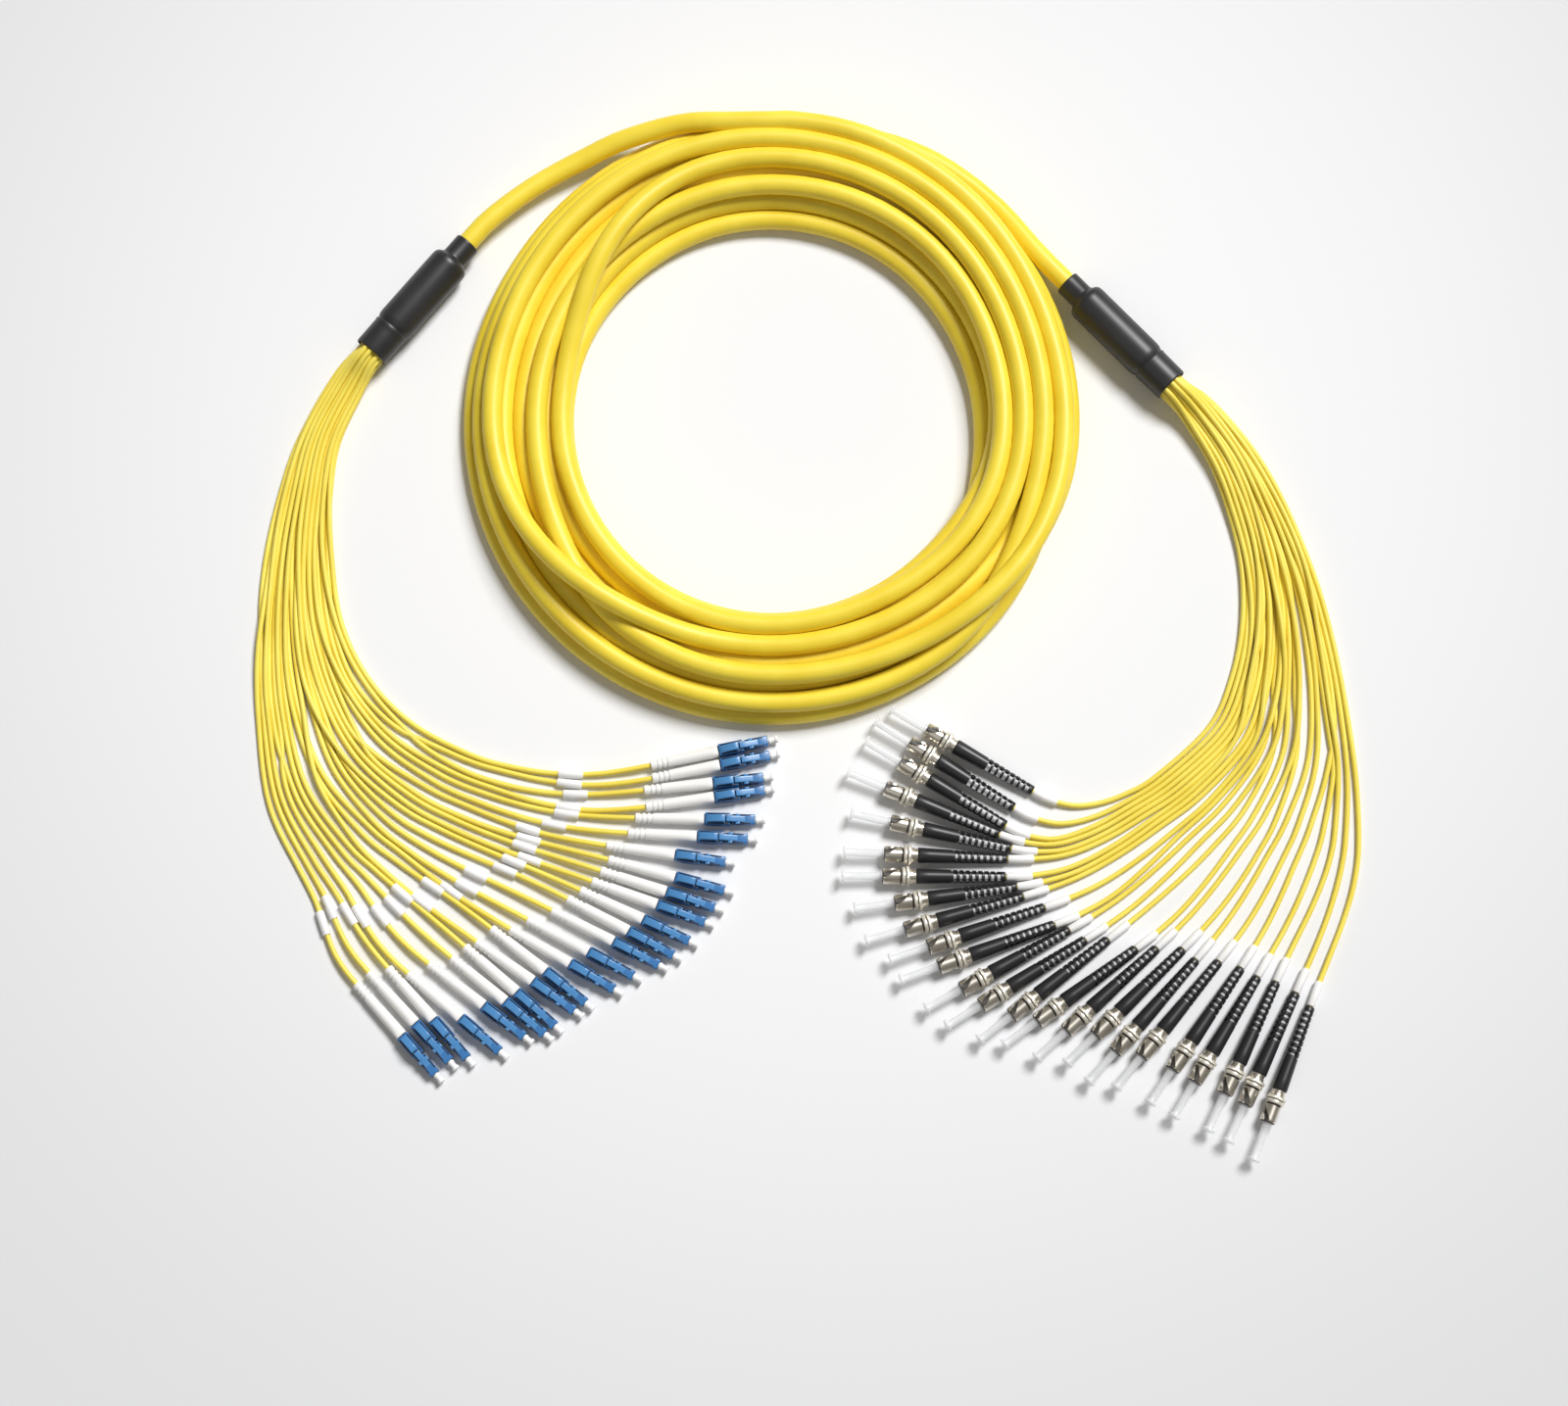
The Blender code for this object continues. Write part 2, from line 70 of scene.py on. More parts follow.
BUNDLE_OFF = (0.21, 0.13)
POTTING_LENGTH = 2.0 * MM
TRUNK_BORE_ROOM = 0.1 * MM

# Plugs, as in the CAD model
LC_BOOT_LENGTH = 30.0 * MM
LC_BODY_WIDTH = 5.4 * MM
LC_BODY_HEIGHT = 6.0 * MM
ST_BOOT_MM = 38.5
ST_BOOT_LENGTH = ST_BOOT_MM * MM
ST_BOOT_REAR_D = 4.4 * MM
ST_FLANGE_D = 8.8 * MM
ST_FLANGE_AT = 2.8 * MM

# ST plugs beyond the CAD model: roll in radians, radii of the boot's rear and front in mm
ST_PLUG_ROLL = 0.35
ST_BOOT_RADII = (2.2, 3.4)
ST_CORE_RADIUS = 1.5 * MM
ST_WINDOWS = 8
KNURL_TEETH = 36

# Fans: first plug's place and heading, then for each next plug its gap, forward step and turn
LC_FIRST = (-98.7, 14.8)
LC_FIRST_HEADING = 12
LC_STEPS = [
    (0.8, -0.5, -1), (1.7, -4.5, -5), (0.8, 0, 2), (3.4, -5.5, -9), (2.3, -3, -2), (3.1, -9, -5),
    (4.2, 1.5, -7), (1.7, -2, -3), (1.1, -2, -2), (2.6, -3.5, -5), (1.8, -3.5, -3), (1.6, -3.5, 1),
    (3.3, -7.5, -1), (2.7, -4.5, -2), (2.7, -7.5, -8), (1.3, -1.5, 3), (2.3, -3, -6), (0.8, -1, 2),
    (1.7, -6, 2), (4.7, -4.5, -3), (2.6, -8.5, -8), (1.4, -4, 1), (2.2, 0, -1),
]
ST_FIRST = (-61.3, 31.5)
ST_FIRST_HEADING = 150
ST_STEPS = [
    (0.3, 3.5, -2), (0.3, -1, 1), (2, 0, 9), (1.7, -7.5, 10), (2.7, 0, 10), (0.3, 0.5, 2),
    (0.9, -5, 8), (1.1, -2.5, 8), (0.3, -7.5, 3), (0.3, -1.5, 1), (1.4, -5.5, 9), (0.3, -4, 3),
    (0.3, -8.5, 6), (0.3, -7, -2), (0.3, -7.5, 6), (0.3, -8, 2), (1, -1, 4), (0.3, -6, 2),
    (3.5, -4, 5), (1.1, -1, 3), (3.1, -2.5, 6), (0.7, 0.5, 0), (1.9, 2.5, 4),
]
RIGHT_HAND = -1
LEFT_HAND = 1
# The outmost legs' ways through each fan. They leave the LC sleeve more smoothly than in the CAD model
LC_INNER = [(175.8, 47.0), (183.2, 57.9), (190.9, 64.4), (198.2, 70), (206, 75.7), (213.2, 76.9),
            (220.8, 72.6), (228.8, 63.5)]
LC_OUTER = [(174.1, 58.2), (181.8, 71.5), (189.3, 82.6), (196.7, 95.1), (204, 108.5), (211.1, 124),
            (218.3, 141), (224.9, 150.1)]
LC_CROWD = 1.0
ST_INNER = [(0.1, 48), (-5.8, 61.9), (-11.6, 73.6), (-17.5, 85), (-23.7, 94.8), (-29.9, 101.1),
            (-35.7, 104.4), (-43.4, 99.7)]
ST_OUTER = [(2.2, 59), (-3.8, 76.5), (-10, 93.5), (-16.1, 110.9), (-21.1, 125.7), (-26.4, 143.2),
            (-31.8, 163.1), (-36.4, 180.2)]
ST_CROWD = 1.5
LEG_STATIONS = 41
LEG_SHOWN_STATIONS = 84
LEG_SWEEP = 0.34
MOUTH_STRAIGHT = 4.0 * MM
BOOT_STRAIGHT = 5.0 * MM
LC_INTO_BOOT = 8.0 * MM
ST_INTO_BOOT = 24.0 * MM
LEG_STRAY = 0.075
FAN_SEED = 11

# Settling of the legs: rounds, stations that keep their places at each end, how many pitches along
# two stations still touch, and what each round pushes, sinks and smooths
LEG_ROUNDS = 100
LEG_HELD = 2
LEG_BESIDE = 6
LEG_PUSH = 0.35
LEG_SINK = 0.012
LEG_STIFFNESS = 0.2

# White sleeves on the legs: length, height of the leg's axis in them, and the radius of their
# bore, their ends and their middle. Those on LC legs lie between two distances in mm from the boot
LC_MARKER = (10.5 * MM, 1.9 * MM, 1.2 * MM, 1.75 * MM, 1.88 * MM)
ST_MARKER = (11 * MM, 1.84 * MM, 1.2 * MM, 1.7 * MM, 1.82 * MM)
LC_MARKER_FROM_BOOT = (23, 31)
ST_MARKER_FROM_BOOT = 0.3 * MM
MARKER_SIDES = 20

# Winding of the trunk, clockwise from the LC end: each turn's layer and place across the coil at
# the coil's top, right, bottom and left
TURNS = [
    ((1.9, 4.3), (2, 3.4), (2, 2.6), (2, 1.4)),
    ((2, 1.5), (2, 1.0), (2, 0.4), (2, 0.3)),
    ((2, 2.4), (2, 1.9), (2, 1.4), (2, 2.7)),
    ((2, 3.3), (2, 2.7), (1.5, 3.3), (1, 3.4)),
    ((1, 3.9), (1, 3.4), (1, 2.5), (1, 2.5)),
    ((1, 3.0), (1, 2.7), (1, 1.5), (1, 1.5)),
    ((1, 2.1), (1, 1.9), (1, 0.5), (1, 0.5)),
    ((1, 1.2), (1, 1.0), (0, 0), (0, 0)),
    ((0, 0.7), (0, 0.6), (0, 1), (0, 1)),
    ((0, 1.6), (0, 1.5), (0, 2), (0, 2)),
    ((0, 2.6), (0, 2.5), (0, 3), (0, 3)),
    ((0, 3.5), (0, 3.4), (0, 4), (0, 4.1)),
]
TOP_END = (0, 4.5)
# Quarters in which a turn is lifted over others: turn and quarter
LIFTED = [(2, 2), (1, 3)]
LIFT = 0.95
POINTS_PER_TURN = 48
TURN_DRIFT = 1.2 * MM
DRIFT_CALM = 120.0
COIL_SEED = 7
SHOWN_PER_TURN = 96

# Settling of the coil: how far it may spread, rounds, stations that keep their places at each end,
# stations of one turn that never touch, how many diameters near and along two others still touch,
# and what each round pushes, sinks and smooths
COIL_SPREAD = 1.0 * MM
COIL_ROUNDS = 150
COIL_HELD = 3
COIL_SAME_TURN = 8
COIL_NEAR = 1.6
COIL_BESIDE = 0.9
COIL_PUSH = 0.3
COIL_SINK = 0.1 * MM
COIL_STIFFNESS = 0.25

# Curves: steps between given points
CURVE_STEPS = 20

# Camera and stage
LOOK_AT = (-0.01087, -0.03436, 0.0)
CAMERA_AT = (-0.01087, -0.29483, 1.47721)
SEEN_WIDTH = 0.68
SENSOR_WIDTH = 36.0
FLOOR_HALF = 12
FLOOR_ROUGHNESS = 0.7
# painted light falloff on the floor: its brightest spot, then the distance and colour where the
# darkening begins and where it ends
FLOOR_PAINTED_LIGHT_CENTRE = (0.02, 0.10, 0.0)
FLOOR_PAINTED_FALLOFF = ((0.12, (0.862, 0.866, 0.88)), (0.58, (0.658, 0.664, 0.678)))
KEY_FROM = (0.60, 0.68, 1.25)
KEY_ANGLE = 20
KEY_ENERGY = 3.5
FILL_FROM = (-0.5, -0.7, 1.6)
FILL_SIZE = 1.2
FILL_ENERGY = 2.2
WORLD_COLOUR = (1, 0.955, 0.87)
WORLD_STRENGTH = 0.16

# Materials: the two colours that each wanders between, its roughness and its metallic share
LOOKS = {
    "trunk_yellow": ((0.94, 0.745, 0.06), (0.89, 0.67, 0.04), 0.44, 0),
    "leg_yellow": ((0.92, 0.765, 0.115), (0.87, 0.69, 0.08), 0.42, 0),
    "sleeve_black": ((0.028, 0.028, 0.030), (0.020, 0.020, 0.022), 0.4, 0),
    "boot_white": ((0.90, 0.89, 0.87), (0.86, 0.85, 0.83), 0.42, 0),
    "marker_white": ((0.92, 0.91, 0.90), (0.88, 0.87, 0.86), 0.5, 0),
    "housing_blue": ((0.042, 0.185, 0.45), (0.03, 0.145, 0.38), 0.3, 0),
    # the housing's blue made lighter: painted highlight on the guard, latch and lugs
    "painted_highlight_blue": ((0.09, 0.28, 0.57), (0.065, 0.23, 0.50), 0.3, 0),
    # near-black painted shade for the LC plug's waists, pockets, slits and nose mouth
    "pocket_painted_shade": ((0.008, 0.012, 0.03), (0.005, 0.008, 0.02), 0.5, 0),
    "cap_white": ((0.92, 0.92, 0.92), (0.87, 0.87, 0.88), 0.35, 0),
    "boot_black": ((0.022, 0.021, 0.024), (0.015, 0.015, 0.017), 0.38, 0),
    "boot_core": ((0.62, 0.62, 0.64), (0.52, 0.52, 0.54), 0.4, 0),
    "nickel": ((0.86, 0.81, 0.72), (0.74, 0.69, 0.60), 0.3, 0.95),
    "flange_pale": ((0.93, 0.89, 0.79), (0.84, 0.79, 0.68), 0.32, 0.5),
    # near-black painted shade for the ST plug's grooves, nut slots, nut bore and nut rim
    "slot_painted_shade": ((0.05, 0.042, 0.035), (0.03, 0.027, 0.024), 0.5, 0),
    "cap_clear": ((0.90, 0.91, 0.92), (0.84, 0.85, 0.87), 0.2, 0),
}
CAP_ALPHA = 0.45
TINT_BETWEEN = (0.35, 0.65)
MOTTLE_SCALE = 45.0
MOTTLE_DETAIL = 4.0
GRAIN_SCALE = 1400.0
GRAIN_DETAIL = 3.0
GRAIN_BUMP = 0.04
GRAIN_DEPTH = 0.2 * MM
GLOSS_SPREAD = 0.15


# Paths

def smooth_curve(points, count):
    """Points at even distances along a smooth curve through the given ones."""
    points = np.array(points, float)
    padded = np.vstack([2 * points[0] - points[1], points, 2 * points[-1] - points[-2]])
    fine = []
    for p0, p1, p2, p3 in zip(padded, padded[1:], padded[2:], padded[3:]):
        for t in np.linspace(0, 1, CURVE_STEPS, endpoint=False):
            fine.append(0.5 * (2 * p1 + (p2 - p0) * t + (2 * p0 - 5 * p1 + 4 * p2 - p3) * t * t
                               + (3 * p1 - p0 - 3 * p2 + p3) * t ** 3))
    fine.append(points[-1])
    fine = np.array(fine)
    run = running_length(fine)
    places = np.linspace(0, run[-1], count)
    return np.stack([np.interp(places, run, fine[:, axis]) for axis in range(3)], axis=1)


def running_length(points):
    return np.concatenate([[0], np.cumsum(np.linalg.norm(np.diff(points, axis=0), axis=1))])


def heading_vector(degrees):
    angle = math.radians(degrees)
    return np.array((math.cos(angle), math.sin(angle), 0.0))


def unit(vector):
    return vector / np.linalg.norm(vector)


def coil_outer():
    return COIL_BORE_D / 2 + (TRUNK_D + TURN_GAP) * (TURNS_ACROSS - 1) + TRUNK_D


def from_coil(place, height=0.0):
    """The point at a bearing and a distance from the coil's outer side."""
    bearing, clear = place
    reach = (coil_outer() + clear * MM) * heading_vector(bearing)
    return reach + np.array((*COIL_CENTRE, height))


def lead_path(bearings, places, count, sleeve_at, sleeve_heading):
    """From beside the coil into the sleeve's trunk neck."""
    entry = from_coil(sleeve_at, SLEEVE_D / 2)
    along = heading_vector(sleeve_heading)
    against = (LEAD_GAP + TRUNK_D / 2) / MM
    beside = [(bearing, against) for bearing in bearings]
    points = [from_coil(place, TRUNK_D / 2) for place in beside + places]
    rise = np.linspace(0, 1, len(points)) ** 2 * (SLEEVE_D / 2 - TRUNK_D / 2)
    for point, lift in zip(points, rise):
        point[2] += lift * LEAD_RISE
    points += [entry - along * LEAD_STRAIGHT, entry + along * (NECK_RECESS - CLEARANCE)]
    return smooth_curve(points, count)


def ease(share):
    """From 0 to 1 with a soft start and end."""
    share = np.clip(share, 0, 1)
    return share ** 3 * (share * (6 * share - 15) + 10)


def coil_path(rng):
    """The wound turns before they settle, through their places at every quarter turn."""
    start, end = LC_LEAVES_COIL[0], ST_LEAVES_COIL[0]
    total = start - end + 360.0 * len(TURNS)
    travel = np.linspace(0, total, int(total / 360 * POINTS_PER_TURN))
    quarter = (90 - start + travel) / 90
    inner = COIL_BORE_D / 2 + TRUNK_D / 2
    pitch = TRUNK_D + TURN_GAP
    lead = (0, (coil_outer() + LEAD_GAP + TRUNK_D / 2 - inner) / pitch)
    stops = np.array([place for turn in TURNS for place in turn] + [TOP_END, lead], float)
    marks = np.append(np.arange(len(stops) - 1), quarter[-1])
    index = np.clip(np.searchsorted(marks, quarter, side="right") - 1, 0, len(marks) - 2)
    share = ease((quarter - marks[index]) / (marks[index + 1] - marks[index]))
    layer, across = (stops[index] + (stops[index + 1] - stops[index]) * share[:, None]).T
    radius = inner + pitch * across
    height = TRUNK_D * (0.5 + LAYER_RISE * layer)
    for turn, part in LIFTED:
        height += TRUNK_D * LIFT * np.where(index == 4 * turn + part, 4 * share * (1 - share), 0)
    bearing = np.radians(start - travel)
    knots = rng.normal(0, TURN_DRIFT, (2, len(TURNS) + 3))
    drift = [np.interp(travel / 360, np.arange(knots.shape[1]), row) for row in knots]
    calm = ease(np.minimum(travel, total - travel) / DRIFT_CALM)
    radius += (drift[0] * np.cos(bearing) + drift[1] * np.sin(bearing)) * calm
    return np.stack([COIL_CENTRE[0] + radius * np.cos(bearing),
                     COIL_CENTRE[1] + radius * np.sin(bearing), height], axis=1)


def settle_coil(base):
    """Push turns that touch apart, keep them in the coil, and let them sink to the floor."""
    shift = np.zeros_like(base)
    index = np.arange(len(base))
    apart = np.abs(index[:, None] - index[None]) > COIL_SAME_TURN
    reach = np.linalg.norm(base[:, :2] - COIL_CENTRE, axis=1)
    least = COIL_BORE_D / 2 + TRUNK_D / 2 - COIL_SPREAD
    most = np.maximum(coil_outer() - TRUNK_D / 2 + COIL_SPREAD, reach)
    for _ in range(COIL_ROUNDS):
        path = base + shift
        tangent = np.gradient(path, axis=0)
        tangent /= np.linalg.norm(tangent, axis=1, keepdims=True)
        between = path[:, None] - path[None]
        near = ((between ** 2).sum(axis=2) < (COIL_NEAR * TRUNK_D) ** 2) & apart
        i, j = np.nonzero(near)
        gap = between[i, j]
        along = (gap * tangent[j]).sum(axis=1)
        across = gap - along[:, None] * tangent[j]
        distance = np.linalg.norm(across, axis=1) + 1e-9
        touch = (distance < TRUNK_D) & (np.abs(along) < COIL_BESIDE * TRUNK_D)
        i, across, distance = i[touch], across[touch], distance[touch]
        push = np.zeros_like(path)
        np.add.at(push, i, across * ((TRUNK_D - distance) / distance)[:, None] * COIL_PUSH)
        hits = np.bincount(i, minlength=len(path))
        shift += push / np.maximum(hits / 2.0, 1.0)[:, None]
        shift[:, 2] -= COIL_SINK
        shift[1:-1] += COIL_STIFFNESS * (shift[:-2] + shift[2:] - 2 * shift[1:-1])
        shift[:, 2] = np.maximum(shift[:, 2], TRUNK_D / 2 - base[:, 2])
        outward = base[:, :2] + shift[:, :2] - COIL_CENTRE
        now = np.linalg.norm(outward, axis=1)
        shift[:, :2] += outward * (np.clip(now, least, most) / now - 1)[:, None]
        shift[:COIL_HELD] = 0
        shift[-COIL_HELD:] = 0
    return base + shift


def joined(lead, point):
    """The lead with its start moved to a point, less and less towards its end."""
    run = running_length(lead)
    return lead + (point - lead[0]) * (1 - ease(run / (LEAD_BLEND * run[-1])))[:, None]


def trunk_path():
    """The whole trunk, from inside the LC sleeve round the coil to inside the ST sleeve."""
    coil = settle_coil(coil_path(np.random.default_rng(COIL_SEED)))
    lc_lead = lead_path(LC_LEAVES_COIL, LC_LEAD, LC_LEAD_STATIONS, LC_SLEEVE_AT, LC_SLEEVE_HEADING)
    st_lead = lead_path(ST_LEAVES_COIL, ST_LEAD, ST_LEAD_STATIONS, ST_SLEEVE_AT, ST_SLEEVE_HEADING)
    lc_lead = joined(lc_lead, coil[0])
    points = np.vstack([lc_lead[::-1][:-1], coil, st_lead[1:]])
    return smooth_curve(points, SHOWN_PER_TURN * (len(TURNS) + 1))


def bundle_slots():
    """Close-packed places of the legs across the sleeve, from one side to the other."""
    span = range(-BUNDLE_SPAN, BUNDLE_SPAN + 1)
    middle = [share * LEG_PITCH for share in BUNDLE_OFF]
    lattice = [((col + 0.5 * (row % 2)) * LEG_PITCH - middle[0],
                row * LEG_PITCH * math.sqrt(0.75) - middle[1]) for row in span for col in span]
    nearest = sorted(lattice, key=lambda slot: math.hypot(*slot))[:LEGS]
    return sorted(nearest)


def bundle_d():
    return 2 * max(math.hypot(*slot) for slot in bundle_slots()) + LEG_D


def fan_places(first, heading, steps, width, side):
    """Each plug's place on the floor and heading, one beside the other."""
    place = from_coil(first)
    places = [(place, heading)]
    for gap, forward, turn in steps:
        along = heading_vector(heading)
        across = side * np.array((-along[1], along[0], 0.0))
        place = place + across * (width + gap * MM) + along * forward * MM
        heading += turn
        places.append((place, heading))
    return places


def st_tilt():
    """The ST plug lies on its flange and on the rear of its boot."""
    drop = (ST_FLANGE_D - ST_BOOT_REAR_D) / 2
    return math.asin(drop / (ST_BOOT_LENGTH + ST_FLANGE_AT))


def lc_frame(place, heading):
    return Matrix.Translation(place) @ Matrix.Rotation(math.radians(heading), 4, "Z")


def st_frame(place, heading):
    height = ST_FLANGE_D / 2 * math.cos(st_tilt())
    lift = Matrix.Translation((place[0], place[1], height))
    return lift @ Matrix.Rotation(math.radians(heading), 4, "Z") @ Matrix.Rotation(-st_tilt(), 4, "Y")


def settle_legs(routes):
    """Push legs that touch apart, and let them sink to the floor. Their ends keep their places."""
    count, stations = routes.shape[:2]
    own = np.eye(count, dtype=bool)[:, :, None]
    held = np.zeros(stations, dtype=bool)
    held[:LEG_HELD] = held[-LEG_HELD:] = True
    shift = np.zeros_like(routes)
    for _ in range(LEG_ROUNDS):
        now = routes + shift
        tangent = np.gradient(now, axis=1)
        tangent /= np.linalg.norm(tangent, axis=2, keepdims=True)
        between = now[:, None] - now[None]
        along = (between * tangent[:, None]).sum(axis=3)
        across = between - along[..., None] * tangent[:, None]
        distance = np.linalg.norm(across, axis=3) + 1e-9
        close = (distance < LEG_PITCH) & (np.abs(along) < LEG_BESIDE * LEG_PITCH) & ~own
        push = np.where(close, (LEG_PITCH - distance) / distance * LEG_PUSH, 0.0)
        shift += (across * push[..., None]).sum(axis=1)
        shift[..., 2] -= LEG_SINK * LEG_PITCH
        shift[:, 1:-1] += LEG_STIFFNESS * (shift[:, :-2] + shift[:, 2:] - 2 * shift[:, 1:-1])
        shift[..., 2] = np.maximum(shift[..., 2], LEG_D / 2 - routes[..., 2])
        shift[:, held] = 0
    return routes + shift


def way_through_fan(end, k, height_share, sway, swing):
    """Points of leg k across its fan, at its share of the way from the inner to the outer side."""
    crowds = np.linspace(1, end.crowd, len(end.inner))
    ways = np.linspace(0, math.pi, len(end.inner))
    points = []
    for near, far, power, way in zip(end.inner, end.outer, crowds, ways):
        near, far = from_coil(near, LEG_D / 2), from_coil(far, LEG_D / 2)
        layers = max(1.0, LEGS * LEG_PITCH / np.linalg.norm(far - near))
        stray = sway * math.sin(way) ** 2 + swing * math.sin(2 * way) * math.sin(way)
        share = (k / (LEGS - 1)) ** power + stray
        points.append(near + (far - near) * min(max(share, 0), 1))
        points[-1][2] += height_share * (layers - 1) * LEG_PITCH
    return points


def sweep(corner, ahead, end, back):
    """Points of a smooth sweep between two places that leaves and arrives in given directions."""
    reach = LEG_SWEEP * np.linalg.norm(end - corner)
    points = []
    for t in (0.25, 0.5, 0.75):
        points.append(
            corner * (1 - t) ** 3 + (corner + ahead * reach) * 3 * t * (1 - t) ** 2
            + (end + back * reach) * 3 * t * t * (1 - t) + end * t ** 3)
    return points


def leg_routes(end, rng):
    """Every leg's points, from the potting in the sleeve to the rear of its plug's boot.

    On the way the legs lie in a pile as wide as the two outmost ones are apart, and each one
    strays a little from its place in it.
    """
    along = heading_vector(end.sleeve_heading)
    inward = end.side * np.array((-along[1], along[0], 0.0))
    mouth_x = TRUNK_NECK_LENGTH + SLEEVE_LENGTH + LEG_NECK_LENGTH
    mouth = from_coil(end.sleeve_at, SLEEVE_D / 2) + along * mouth_x
    routes = []
    for k, (slot, (place, heading)) in enumerate(zip(reversed(bundle_slots()), end.places)):
        start = mouth + inward * slot[0] + np.array((0, 0, slot[1]))
        points = [start - along * (NECK_RECESS - POTTING_LENGTH / 2), start + along * MOUTH_STRAIGHT]
        height_share = 0.5 + slot[1] / (bundle_d() - LEG_D)
        sway, swing = rng.uniform(-LEG_STRAY, LEG_STRAY, 2)
        points += way_through_fan(end, k, height_share, sway, swing)
        rear = np.array(end.frame(place, heading) @ Vector((-end.boot_length - CLEARANCE, 0, 0)))
        rear[2] += end.axis_height
        back = -heading_vector(heading)
        behind = rear + back * BOOT_STRAIGHT
        ahead = 1.5 * unit(points[-1] - points[-2]) - 0.5 * unit(points[-2] - points[-3])
        points += sweep(points[-1], ahead, behind, back) + [behind, rear]
        routes.append(smooth_curve(points, LEG_STATIONS))
    return settle_legs(np.array(routes))


# Materials

def shader_of(name):
    material = bpy.data.materials.new(name)
    material.use_nodes = True
    nodes, links = material.node_tree.nodes, material.node_tree.links
    return material, nodes, links, nodes["Principled BSDF"]


def surface(name, colour, shade, roughness, metallic):
    """Moulded or drawn material: slow colour variation, uneven gloss and a fine grain."""
    material, nodes, links, shader = shader_of(name)
    shader.inputs["Metallic"].default_value = metallic
    coords = nodes.new("ShaderNodeTexCoord")
    slow = nodes.new("ShaderNodeTexNoise")
    slow.inputs["Scale"].default_value = MOTTLE_SCALE
    slow.inputs["Detail"].default_value = MOTTLE_DETAIL
    tint = nodes.new("ShaderNodeValToRGB")
    for element, position, tone in zip(tint.color_ramp.elements, TINT_BETWEEN, (shade, colour)):
        element.position = position
        element.color = (*tone, 1)
    gloss = nodes.new("ShaderNodeMapRange")
    gloss.inputs["To Min"].default_value = roughness * (1 - GLOSS_SPREAD)
    gloss.inputs["To Max"].default_value = roughness * (1 + GLOSS_SPREAD)
    fine = nodes.new("ShaderNodeTexNoise")
    fine.inputs["Scale"].default_value = GRAIN_SCALE
    fine.inputs["Detail"].default_value = GRAIN_DETAIL
    relief = nodes.new("ShaderNodeBump")
    relief.inputs["Strength"].default_value = GRAIN_BUMP
    relief.inputs["Distance"].default_value = GRAIN_DEPTH
    links.new(coords.outputs["Object"], slow.inputs["Vector"])
    links.new(coords.outputs["Object"], fine.inputs["Vector"])
    links.new(slow.outputs["Fac"], tint.inputs["Fac"])
    links.new(tint.outputs["Color"], shader.inputs["Base Color"])
    links.new(slow.outputs["Fac"], gloss.inputs["Value"])
    links.new(gloss.outputs["Result"], shader.inputs["Roughness"])
    links.new(fine.outputs["Fac"], relief.inputs["Height"])
    links.new(relief.outputs["Normal"], shader.inputs["Normal"])
    return material


# Meshes

class Shape:
    """Collects rings of points into one mesh of several materials."""

    def __init__(self):
        self.mesh = bmesh.new()

    def skin(self, rings, slot, start_cap=True):
        """Joins rings of as many points each, and closes the ends."""
        loops = [[self.mesh.verts.new(point) for point in ring] for ring in rings]
        for near, far in zip(loops, loops[1:]):
            count = len(near)
            for i in range(count):
                j = (i + 1) % count
                self.mesh.faces.new((near[i], near[j], far[j], far[i])).material_index = slot
        if start_cap:
            self.mesh.faces.new(list(reversed(loops[0]))).material_index = slot
        self.mesh.faces.new(loops[-1]).material_index = slot

    def paint_inside(self, first, radius, slot, least_x):
        """Gives the faces from the first on that lie near the x axis another material."""
        self.mesh.faces.ensure_lookup_table()
        for face in self.mesh.faces[first:]:
            middle = face.calc_center_median()
            if math.hypot(middle.y, middle.z) < radius and middle.x > least_x:
                face.material_index = slot

    def finish(self, name, materials, angle=38):
        bmesh.ops.recalc_face_normals(self.mesh, faces=self.mesh.faces)
        data = bpy.data.meshes.new(name)
        self.mesh.to_mesh(data)
        self.mesh.free()
        for material in materials:
            data.materials.append(material)
        data.shade_smooth()
        data.set_sharp_from_angle(angle=math.radians(angle))
        return data


def ring(x, radius, sides=24, middle=0.0):
    angles = [2 * math.pi * (i + 0.5) / sides for i in range(sides)]
    return [Vector((x, radius * math.sin(a), middle - radius * math.cos(a))) for a in angles]


def turned(outline, sides=24, middle=0.0):
    """Rings of a turned piece, from its places along x and its radii in mm."""
    return [ring(x * MM, radius * MM, sides, middle) for x, radius in outline]


def ridge(outline, half_width):
    """Rings of a ridge along x, from its places, undersides and tops in mm."""
    return [squared_ring(x * MM, half_width * MM, low * MM, high * MM, 5) for x, low, high in outline]


def shifted(rings, y):
    return [[point + Vector((0, y, 0)) for point in around] for around in rings]


def squared_ring(x, half_width, low, high, power, sides=24):
    """A ring between a circle (power 2) and a rounded rectangle (high power)."""
    points = []
    for i in range(sides):
        angle = 2 * math.pi * (i + 0.5) / sides
        s, c = math.sin(angle), -math.cos(angle)
        y = half_width * math.copysign(abs(s) ** (2 / power), s)
        z = (low + high) / 2 + (high - low) / 2 * math.copysign(abs(c) ** (2 / power), c)
        points.append(Vector((x, y, z)))
    return points


def rounded(x0, x1, half_width, low, high, edge=0.25 * MM, power=7, sides=24):
    """Rings of a block with soft ends."""
    def at(x, inset):
        return squared_ring(x, half_width - inset, low + inset, high - inset, power, sides)
    return [at(x0, edge), at(x0 + edge * 0.4, edge * 0.3), at(x0 + edge, 0),
            at(x1 - edge, 0), at(x1 - edge * 0.4, edge * 0.3), at(x1, edge)]


